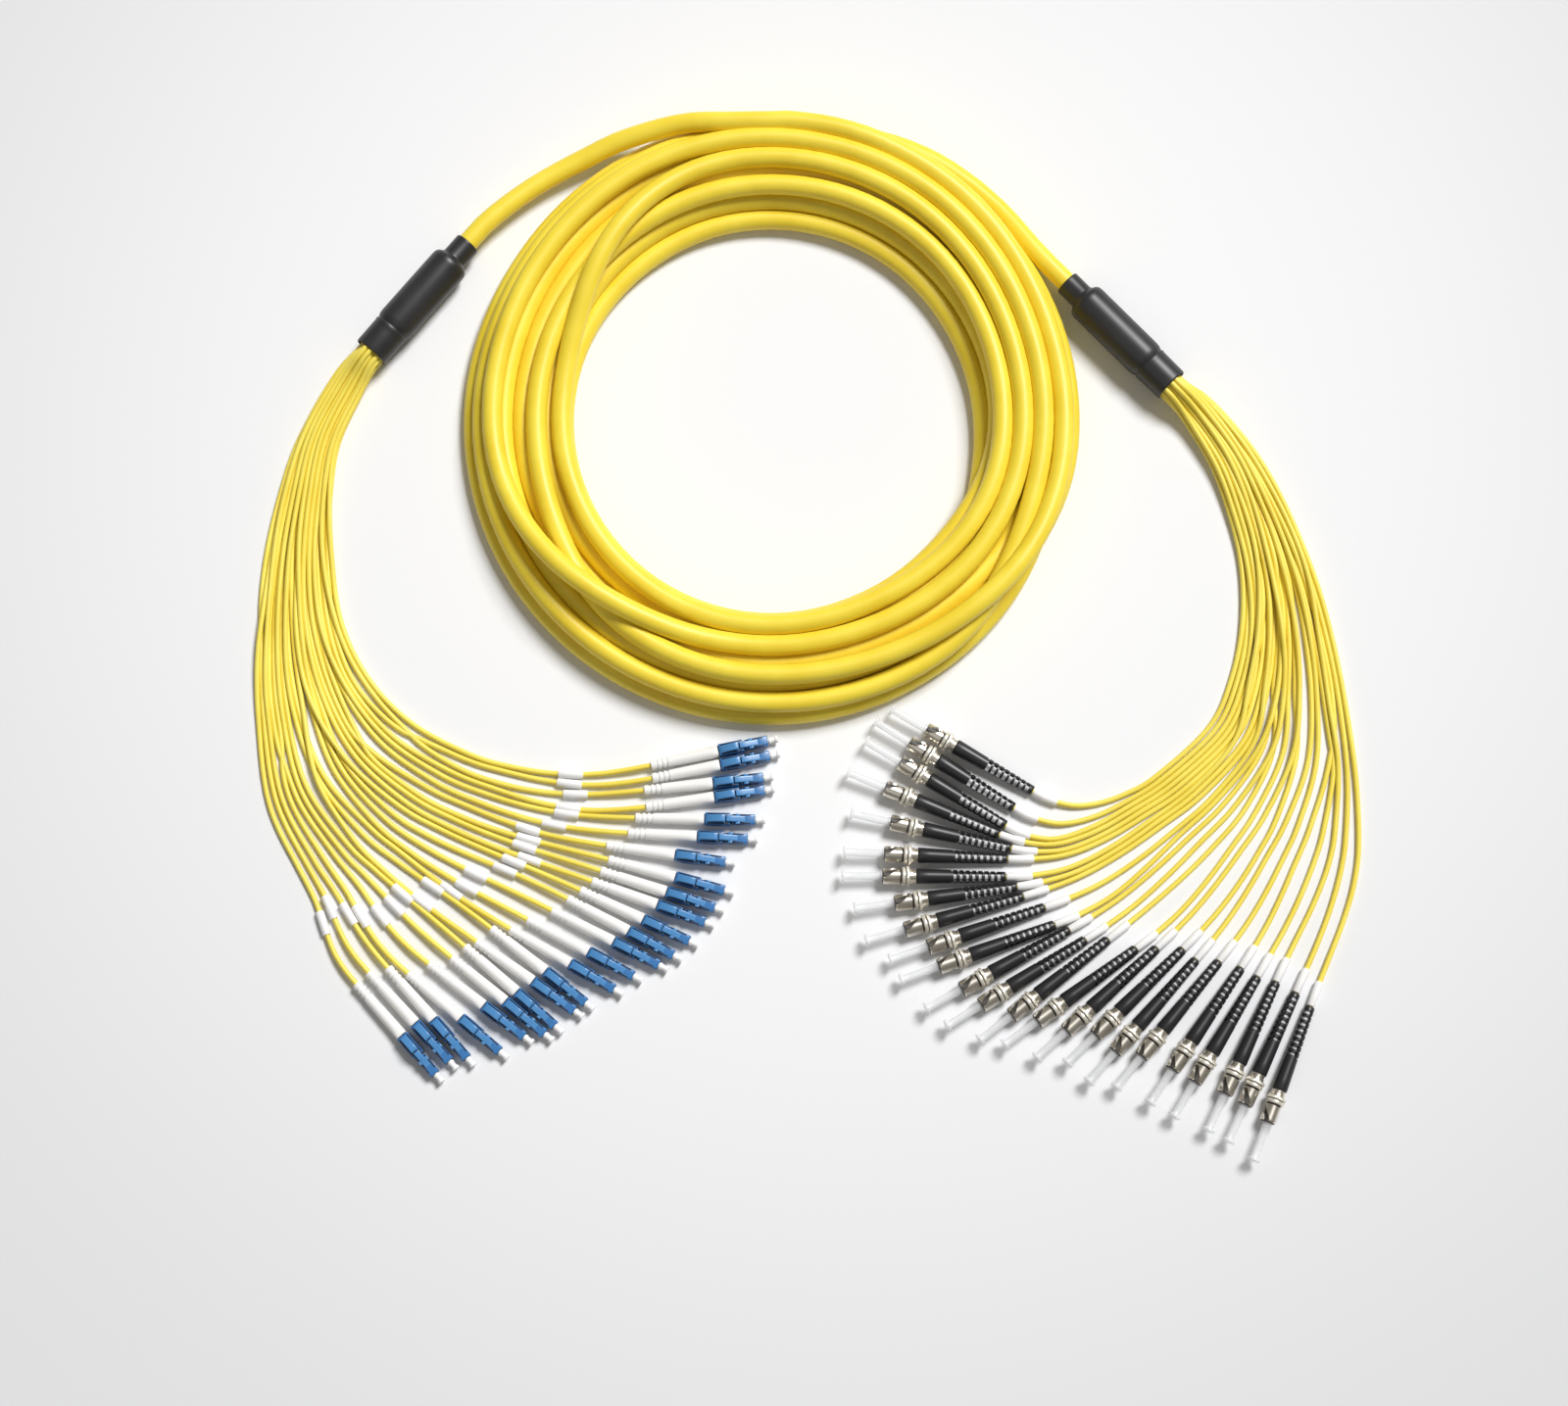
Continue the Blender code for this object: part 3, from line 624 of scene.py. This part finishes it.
def lc_plug_mesh(materials):
    """LC plug along +X, latch up: boot, housing with latch and guard, nose, ferrule and cap.

    Outlines are places along x and radii in mm.
    """
    # the dark material is near-black painted shade for gaps, pockets, slits and the nose's mouth
    white, blue, painted_shade, cap, pale = range(5)
    # pale is the housing's blue lightened as painted highlight
    shape = Shape()
    mid = LC_BODY_HEIGHT / 2
    boot = [(-30, 1.45), (-30, 1.9), (-29.75, 2.15), (-28.2, 2.2)]
    for groove in (-27.9, -25.7, -23.5):
        boot += [(groove, 2.2), (groove + 0.15, 1.8), (groove + 0.95, 1.8), (groove + 1.1, 2.24)]
    boot += [(-20, 2.3), (-12, 2.45), (-5, 2.58)]
    # the boot turns square towards the housing: place, half width and squareness
    square = [(-3, 2.6, 2.4), (-1.2, 2.6, 3.2), (-0.6, 2.5, 3.6), (-0.4, 2.3, 3.6)]
    shape.skin(turned(boot, middle=mid)
               + [squared_ring(x * MM, w * MM, mid - w * MM, mid + w * MM, power)
                  for x, w, power in square], white)
    # waist, housing, waist and nose; the two waists are near-black painted shade in the gaps between
    # boot, housing and nose
    shape.skin(rounded(-0.4 * MM, 0.4 * MM, 2.2 * MM, mid - 2.2 * MM, mid + 2.2 * MM), painted_shade)
    shape.skin(rounded(0.05 * MM, 10.8 * MM, LC_BODY_WIDTH / 2, 0.02 * MM, LC_BODY_HEIGHT), blue)
    shape.skin(rounded(10.6 * MM, 12.1 * MM, 1.9 * MM, mid - 1.9 * MM, mid + 1.9 * MM), painted_shade)
    shape.skin(rounded(11.6 * MM, 21.5 * MM, 2.25 * MM, mid - 2.25 * MM, mid + 2.25 * MM), blue)
    # pockets at the sides and slits beside the latch, near-black as painted shade: from, to, out,
    # underside and top
    recesses = [(2.6, 7.4, 2.71, 1.9, 4.1), (13.4, 16.4, 2.26, 1.8, 4.2),
                (0.9, 10.2, 2.02, 5.85, 6.06), (12.3, 19.6, 1.72, 5.1, 5.31)]
    for side in (-1, 1):
        for x0, x1, y, low, high in recesses:
            thick = 0.06 if high - low > 1 else 0.26
            block = rounded(x0 * MM, x1 * MM, thick * MM, low * MM, high * MM, 0.05 * MM, 6, 12)
            shape.skin(shifted(block, side * y * MM), painted_shade)
    # guard over the latch, from the rear of the housing, in the housing's blue lightened as painted
    # highlight
    guard = [(0.8, 5.5, 6.15), (2.2, 5.6, 6.9), (4.4, 5.8, 7.75), (6.4, 6.2, 8.15), (8.4, 7.1, 8.1),
             (8.7, 7.3, 7.9)]
    shape.skin(ridge(guard, 1.6), pale)
    # painted shade under the latch's end, then the latch, from the nose up to the guard
    shape.skin(rounded(8.9 * MM, 10.7 * MM, 1.5 * MM, 5.9 * MM, 6.3 * MM, 0.1 * MM), painted_shade)
    # the latch and the lugs, like the guard, in the lighter blue of painted highlight
    latch = [(9.3, 6.35, 7.15), (9.8, 6.3, 7.2), (12.5, 5.8, 6.6), (15.5, 5.2, 5.9), (17.2, 4.9, 5.4)]
    shape.skin(ridge(latch, 1.3), pale)
    for side in (-1, 1):
        lug = rounded(13.2 * MM, 15.0 * MM, 0.5 * MM, 5.0 * MM, 5.95 * MM, 0.12 * MM, 5, 12)
        shape.skin(shifted(lug, side * 1.75 * MM), pale)
    # painted shade in the mouth of the nose, then the cap
    mouth = [(21.45, 1.95), (21.56, 1.95), (21.56, 1.6)]
    shape.skin(turned(mouth, middle=mid), painted_shade, start_cap=False)
    cover = [(20.9, 1.35), (22.0, 1.35), (22.1, 1.6), (22.5, 1.68), (22.7, 1.6), (22.8, 1.3),
             (24.7, 1.2), (24.85, 1.62), (25.3, 1.7), (25.8, 1.66), (26.0, 1.45), (26.0, 1.1),
             (25.7, 0.95)]
    shape.skin(turned(cover, middle=mid), cap)
    return shape.finish("lc_plug_shown", materials)


def st_boot(shape, black, core):
    """Black boot: windows above and below, and between them at its sides, show a light core."""
    sides = 32
    rear, front = ST_BOOT_RADII

    def boot_ring(x, above=False, beside=False):
        full = (rear + (front - rear) * (x + ST_BOOT_MM) / ST_BOOT_MM) * MM
        points = []
        for point in ring(x * MM, 1.0, sides):
            open_here = (above and abs(point.z) > 0.74) or (beside and abs(point.y) > 0.86)
            radius = ST_CORE_RADIUS if open_here else full
            points.append(Vector((x * MM, point.y * radius, point.z * radius)))
        return points

    rings = turned([(-ST_BOOT_MM, 1.25), (-ST_BOOT_MM, 2.0)], sides) + [boot_ring(-38.2)]
    for k in range(ST_WINDOWS):
        start = -36.6 + 2.7 * k
        rings += [boot_ring(start), boot_ring(start + 0.03, above=True),
                  boot_ring(start + 1.65, above=True), boot_ring(start + 1.68),
                  boot_ring(start + 1.7, beside=True), boot_ring(start + 2.55, beside=True),
                  boot_ring(start + 2.58)]
    rings += [boot_ring(x) for x in (-14.6, -10, -5, -0.7)]
    rings += turned([(-0.2, 3.2), (0, 2.9)], sides)
    first = len(shape.mesh.faces)
    shape.skin(rings, black)
    shape.paint_inside(first, ST_CORE_RADIUS * 1.15, core, -37.5 * MM)


def st_nut(shape, metal, painted_shade):
    """Bayonet nut: a sleeve with two sloping slots that end in a pocket; the slot floors and the bore
    are near-black painted shade. Sizes are in mm.
    """
    sides = 48
    begins, ends, slots_begin = 7.0, 14.0, 7.8
    outer, edge, slot_floor = 3.5, 3.35, 2.75
    slot_half_angle = 0.4

    def in_slot(x, angle):
        for begin in (0.3, 0.3 + math.pi):
            centre = begin + max(0.0, (13.0 - x) / 5.0) * 1.1
            off = (angle - centre + math.pi) % (2 * math.pi) - math.pi
            if x > slots_begin and abs(off) < slot_half_angle:
                return True
        return False

    def point(x, i):
        angle = 2 * math.pi * (i + 0.5) / sides
        radius = slot_floor if in_slot(x, angle) else outer
        if x > 13.8 and radius > 3:
            radius = edge
        return Vector((x * MM, radius * MM * math.sin(angle), -radius * MM * math.cos(angle)))

    first = len(shape.mesh.faces)
    rows = [[point(x, i) for i in range(sides)] for x in np.linspace(begins, ends, 25)]
    rows += turned([(14.2, 3.2), (14.2, 2.7), (13.0, 2.6)], sides)
    shape.skin(rows, metal)
    # slot floors and bore get the near-black painted shade
    shape.paint_inside(first, 3.0 * MM, painted_shade, 7.1 * MM)


def knurled_ring(x, radius, depth):
    points = []
    for i, point in enumerate(ring(x, 1.0, KNURL_TEETH * 2)):
        r = radius - depth * (i % 2)
        points.append(Vector((point.x, point.y * r, point.z * r)))
    return points


def st_plug_mesh(materials):
    """ST plug along +X: slotted boot, collar, knurled flange, bayonet nut and clear cap.

    Outlines are places along x and radii in mm, and the depth of the knurl on the two discs.
    """
    black, metal, painted_shade, cap, core, pale = range(6)
    sides = 32
    shape = Shape()
    st_boot(shape, black, core)
    collar = [(0.05, 2.3), (0.05, 2.75), (0.2, 2.9), (1.2, 2.9), (1.3, 2.6), (1.5, 2.6), (1.6, 3.2),
              (2.7, 3.3), (2.9, 3.0)]
    shape.skin(turned(collar, sides), metal)
    discs = [[(2.8, 2.9, 0), (2.8, 4.0, 0), (2.95, 4.25, 0), (3.1, 4.38, 0.16), (4.0, 4.38, 0.16),
              (4.15, 4.1, 0), (4.15, 3.2, 0)],
             [(4.6, 3.2, 0), (4.6, 3.9, 0), (4.75, 4.05, 0.12), (5.9, 4.05, 0.12), (6.1, 3.85, 0),
              (6.1, 2.9, 0)]]
    for disc in discs:
        shape.skin([knurled_ring(x * MM, r * MM, depth * MM) for x, r, depth in disc], pale)
    # grooves between the discs and before the nut, in near-black painted shade
    for groove in ([(4.1, 3.4), (4.7, 3.4)], [(6.0, 3.0), (7.1, 3.0)]):
        shape.skin(turned(groove, sides), painted_shade)
    st_nut(shape, metal, painted_shade)
    # the nut's front rim, in near-black painted shade
    shape.skin(turned([(14.1, 3.05), (14.35, 3.05), (14.4, 2.5)], sides), painted_shade)
    cover = [(12.4, 1.7), (14.3, 1.75), (14.4, 2.2), (15.1, 2.2), (15.3, 1.8), (20, 1.75),
             (27, 1.68), (30.2, 1.65), (30.6, 1.8), (30.75, 2.7), (31.0, 2.88), (31.6, 2.88),
             (31.85, 2.75), (31.85, 2.1), (31.5, 1.9)]
    shape.skin(turned(cover), cap)
    return shape.finish("st_plug_shown", materials)


def sleeve_mesh(name, material):
    """Moulded sleeve along +X, with soft shoulders and rolled mouths."""
    trunk_bore = TRUNK_D / 2 + TRUNK_BORE_ROOM
    leg_bore = bundle_d() / 2 + CLEARANCE
    neck = (TRUNK_D + 2 * CLEARANCE) / 2 + SLEEVE_WALL
    leg_neck = leg_bore + LEG_NECK_WALL
    body = SLEEVE_D / 2
    front, back = TRUNK_NECK_LENGTH, TRUNK_NECK_LENGTH + SLEEVE_LENGTH
    end = back + LEG_NECK_LENGTH
    # from the trunk's mouth to the legs' mouth: a place, mm on from it, a radius and mm more
    outline = [
        (0, 0.3, trunk_bore, 0), (0, 0, trunk_bore, 0.25), (0, 0, neck, -0.3), (0, 0.25, neck, -0.05),
        (0, 0.8, neck, 0), (front, -1.2, neck, 0), (front, -0.5, neck, 0.15), (front, -0.1, neck, 0.7),
        (front, 0.3, body, -1.9), (front, 0.8, body, -1.0), (front, 1.6, body, -0.4),
        (front, 2.8, body, -0.08), (front, 4, body, 0), ((front + back) / 2, 0, body, 0),
        (back, -5, body, 0), (back, -3.4, body, -0.1), (back, -2.2, body, -0.45),
        (back, -1.2, body, -0.9), (back, -0.4, leg_neck, 0.25), (back, 0.6, leg_neck, 0),
        (back, 3, leg_neck, 0), (end, -0.8, leg_neck, -0.1), (end, -0.2, leg_neck, -0.2),
        (end, 0, leg_neck, -0.5), (end, 0, leg_bore, 0.1), (end, -0.3, leg_bore, 0),
    ]
    rings = [(x + on * MM, radius + more * MM) for x, on, radius, more in outline]
    rings = [(NECK_RECESS, trunk_bore)] + rings + [(end - NECK_RECESS, leg_bore)]
    shape = Shape()
    shape.skin([ring(x, radius, 48) for x, radius in rings], 0)
    return shape.finish(name, [material], 50)


def marker_mesh(name, path, marker, material):
    """A white sleeve that follows the leg's path."""
    _, _, bore, edge, middle = marker
    outline = [(0, bore), (0, edge), (0.03, middle), (0.5, middle), (0.97, middle), (1, edge), (1, bore)]
    run = running_length(path)
    places = [share * run[-1] for share, _ in outline]
    points = np.stack([np.interp(places, run, path[:, axis]) for axis in range(3)], axis=1)
    way = np.gradient(path, axis=0)
    turns = [2 * math.pi * i / MARKER_SIDES for i in range(MARKER_SIDES)]
    rings = []
    for point, (share, radius) in zip(points, outline):
        ahead = Vector(way[int(round(share * (len(path) - 1)))]).normalized()
        side = ahead.cross(Vector((0, 0, 1))).normalized()
        up = side.cross(ahead)
        rings.append([Vector(point) + side * radius * math.sin(a) + up * radius * math.cos(a)
                      for a in turns])
    shape = Shape()
    shape.skin(rings, 0)
    return shape.finish(name, [material])


def add(name, data, matrix=None):
    obj = bpy.data.objects.new(name, data)
    bpy.context.scene.collection.objects.link(obj)
    if matrix is not None:
        obj.matrix_world = matrix
    return obj


def cord_curve(name, path, diameter, material, resolution):
    curve = bpy.data.curves.new(name, "CURVE")
    curve.dimensions = "3D"
    spline = curve.splines.new("POLY")
    spline.points.add(len(path) - 1)
    for point, place in zip(spline.points, path):
        point.co = (*place, 1.0)
    spline.use_smooth = True
    curve.bevel_depth = diameter / 2
    curve.bevel_resolution = resolution
    curve.use_fill_caps = True
    curve.materials.append(material)
    return add(name, curve)


# Parts of the cable

def make_trunk(material):
    path = trunk_path()
    trunk = cord_curve("trunk", path, TRUNK_D, material, 10)
    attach(trunk, "root")
    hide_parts("trunk_coil", "trunk_lead_lc", "trunk_lead_st")


def make_sleeves(material):
    data = sleeve_mesh("sleeve_shown", material)
    for node, at, heading in (("breakout_lc", LC_SLEEVE_AT, LC_SLEEVE_HEADING),
                              ("breakout_st", ST_SLEEVE_AT, ST_SLEEVE_HEADING)):
        place = Matrix.Translation(from_coil(at, SLEEVE_D / 2))
        sleeve = add(f"{node}_shown", data, place @ Matrix.Rotation(math.radians(heading), 4, "Z"))
        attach(sleeve, "root")
        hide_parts(node)


def marker_stretch(route, from_end, marker):
    """Raises the leg so that its white sleeve clears the floor, and returns that stretch."""
    length, height = marker[:2]
    run = running_length(route)
    middle = run[-1] - from_end - length / 2
    bump = np.exp(-((run - middle) / (length * 0.9)) ** 4)
    route[:, 2] = np.maximum(route[:, 2], height * bump)
    inside = np.linspace(middle - length / 2, middle + length / 2, 7)
    return np.stack([np.interp(inside, run, route[:, axis]) for axis in range(3)], axis=1)


def make_fan(end, plug_data, jacket, white, rng):
    """The legs of one end with their plugs and white sleeves. Returns what each leg carries."""
    legs = []
    for number, (route, (place, heading)) in enumerate(zip(end.routes, end.places), 1):
        ahead = np.array(end.frame(place, heading).to_3x3().col[0])
        path = smooth_curve(route, LEG_SHOWN_STATIONS)
        plug = add(f"{end.kind}_plug_{number:02d}_shown", plug_data, end.frame(place, heading))
        if end.kind == "st":
            roll = rng.uniform(-ST_PLUG_ROLL, ST_PLUG_ROLL)
            plug.matrix_world = plug.matrix_world @ Matrix.Rotation(roll, 4, "X")
            from_boot = ST_MARKER_FROM_BOOT
        else:
            from_boot = rng.uniform(*LC_MARKER_FROM_BOOT) * MM
        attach(plug, "root")
        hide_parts(f"{end.kind}_plug_{number:02d}")
        stretch = marker_stretch(path, from_boot, end.marker)
        name = f"{end.kind}_marker_{number:02d}"
        marker = add(name, marker_mesh(name, stretch, end.marker, white))
        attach(marker, "root")
        path = np.vstack([path, path[-1] + ahead * end.into_boot])
        leg = cord_curve(f"{end.kind}_leg_{number:02d}", path, LEG_D, jacket, 4)
        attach(leg, "root")
        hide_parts(f"{end.kind}_legs")
        legs.append((leg, path, [plug, marker]))
    return legs


def declare_legs(legs):
    legs = sorted(legs, key=lambda entry: -running_length(entry[1])[-1])


# Stage

def make_stage():
    """Pale floor with a painted light falloff, its colour darkening away from one bright spot; a broad
    light from behind and a soft fill.
    """
    shape = Shape()
    corners = [(-FLOOR_HALF, -FLOOR_HALF), (FLOOR_HALF, -FLOOR_HALF), (FLOOR_HALF, FLOOR_HALF),
               (-FLOOR_HALF, FLOOR_HALF)]
    shape.mesh.faces.new([shape.mesh.verts.new((x, y, 0.0)) for x, y in corners])
    material, nodes, links, shader = shader_of("floor")
    shader.inputs["Roughness"].default_value = FLOOR_ROUGHNESS
    coords = nodes.new("ShaderNodeTexCoord")
    away = nodes.new("ShaderNodeVectorMath")
    away.operation = "DISTANCE"
    away.inputs[1].default_value = FLOOR_PAINTED_LIGHT_CENTRE
    # painted light falloff: the floor's colour darkens with distance from the bright spot
    painted_falloff = nodes.new("ShaderNodeValToRGB")
    painted_falloff.color_ramp.interpolation = "EASE"
    for element, (position, colour) in zip(painted_falloff.color_ramp.elements, FLOOR_PAINTED_FALLOFF):
        element.position = position
        element.color = (*colour, 1)
    links.new(coords.outputs["Object"], away.inputs[0])
    links.new(away.outputs["Value"], painted_falloff.inputs["Fac"])
    links.new(painted_falloff.outputs["Color"], shader.inputs["Base Color"])
    floor = add("floor", shape.finish("floor", [material]))
    key = bpy.data.lights.new("key", "SUN")
    key.angle = math.radians(KEY_ANGLE)
    key.energy = KEY_ENERGY
    aim_light(key, KEY_FROM)
    fill = bpy.data.lights.new("fill", "AREA")
    fill.size = FILL_SIZE
    fill.energy = FILL_ENERGY
    aim_light(fill, FILL_FROM)
    world = bpy.data.worlds.new("studio")
    world.use_nodes = True
    world.node_tree.nodes["Background"].inputs["Color"].default_value = (*WORLD_COLOUR, 1)
    world.node_tree.nodes["Background"].inputs["Strength"].default_value = WORLD_STRENGTH
    bpy.context.scene.world = world


def aim_light(data, place):
    light = add(data.name, data)
    light.location = place
    aim = Vector(LOOK_AT) - Vector(place)
    light.rotation_euler = aim.to_track_quat("-Z", "Y").to_euler()


def make_camera():
    data = bpy.data.cameras.new("camera")
    camera = add("camera", data)
    camera.location = CAMERA_AT
    aim = Vector(LOOK_AT) - Vector(CAMERA_AT)
    camera.rotation_euler = aim.to_track_quat("-Z", "Y").to_euler()
    data.sensor_fit = "HORIZONTAL"
    data.sensor_width = SENSOR_WIDTH
    data.lens = SENSOR_WIDTH * aim.length / SEEN_WIDTH
    bpy.context.scene.camera = camera


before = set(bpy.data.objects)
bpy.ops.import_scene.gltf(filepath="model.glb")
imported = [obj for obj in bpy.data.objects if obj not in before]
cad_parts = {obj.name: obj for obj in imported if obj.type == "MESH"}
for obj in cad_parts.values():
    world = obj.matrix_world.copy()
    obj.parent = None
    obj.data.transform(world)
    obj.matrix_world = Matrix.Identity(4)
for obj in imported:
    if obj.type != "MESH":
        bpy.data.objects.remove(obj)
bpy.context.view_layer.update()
bpy.context.scene.view_settings.view_transform = "Standard"
make_camera()
make_stage()

look = {name: surface(name, *values) for name, values in LOOKS.items()}
look["cap_clear"].node_tree.nodes["Principled BSDF"].inputs["Alpha"].default_value = CAP_ALPHA

make_trunk(look["trunk_yellow"])
make_sleeves(look["sleeve_black"])
lc_end = SimpleNamespace(
    kind="lc", sleeve_at=LC_SLEEVE_AT, sleeve_heading=LC_SLEEVE_HEADING, side=LEFT_HAND,
    inner=LC_INNER, outer=LC_OUTER, crowd=LC_CROWD, frame=lc_frame, boot_length=LC_BOOT_LENGTH,
    axis_height=LC_BODY_HEIGHT / 2, into_boot=LC_INTO_BOOT, marker=LC_MARKER)
lc_end.places = fan_places(LC_FIRST, LC_FIRST_HEADING, LC_STEPS, LC_BODY_WIDTH, RIGHT_HAND)
st_end = SimpleNamespace(
    kind="st", sleeve_at=ST_SLEEVE_AT, sleeve_heading=ST_SLEEVE_HEADING, side=RIGHT_HAND,
    inner=ST_INNER, outer=ST_OUTER, crowd=ST_CROWD, frame=st_frame, boot_length=ST_BOOT_LENGTH,
    axis_height=0.0, into_boot=ST_INTO_BOOT, marker=ST_MARKER)
st_end.places = fan_places(ST_FIRST, ST_FIRST_HEADING, ST_STEPS, ST_FLANGE_D, LEFT_HAND)
rng = np.random.default_rng(FAN_SEED)
for end in (lc_end, st_end):
    end.routes = leg_routes(end, rng)
lc_data = lc_plug_mesh([look[name] for name in ("boot_white", "housing_blue", "pocket_painted_shade", "cap_white",
                                                "painted_highlight_blue")])
st_data = st_plug_mesh([look[name] for name in ("boot_black", "nickel", "slot_painted_shade", "cap_clear",
                                                "boot_core", "flange_pale")])
jacket, white = look["leg_yellow"], look["marker_white"]
lc_legs = make_fan(lc_end, lc_data, jacket, white, rng)
st_legs = make_fan(st_end, st_data, jacket, white, rng)
declare_legs(lc_legs + st_legs)
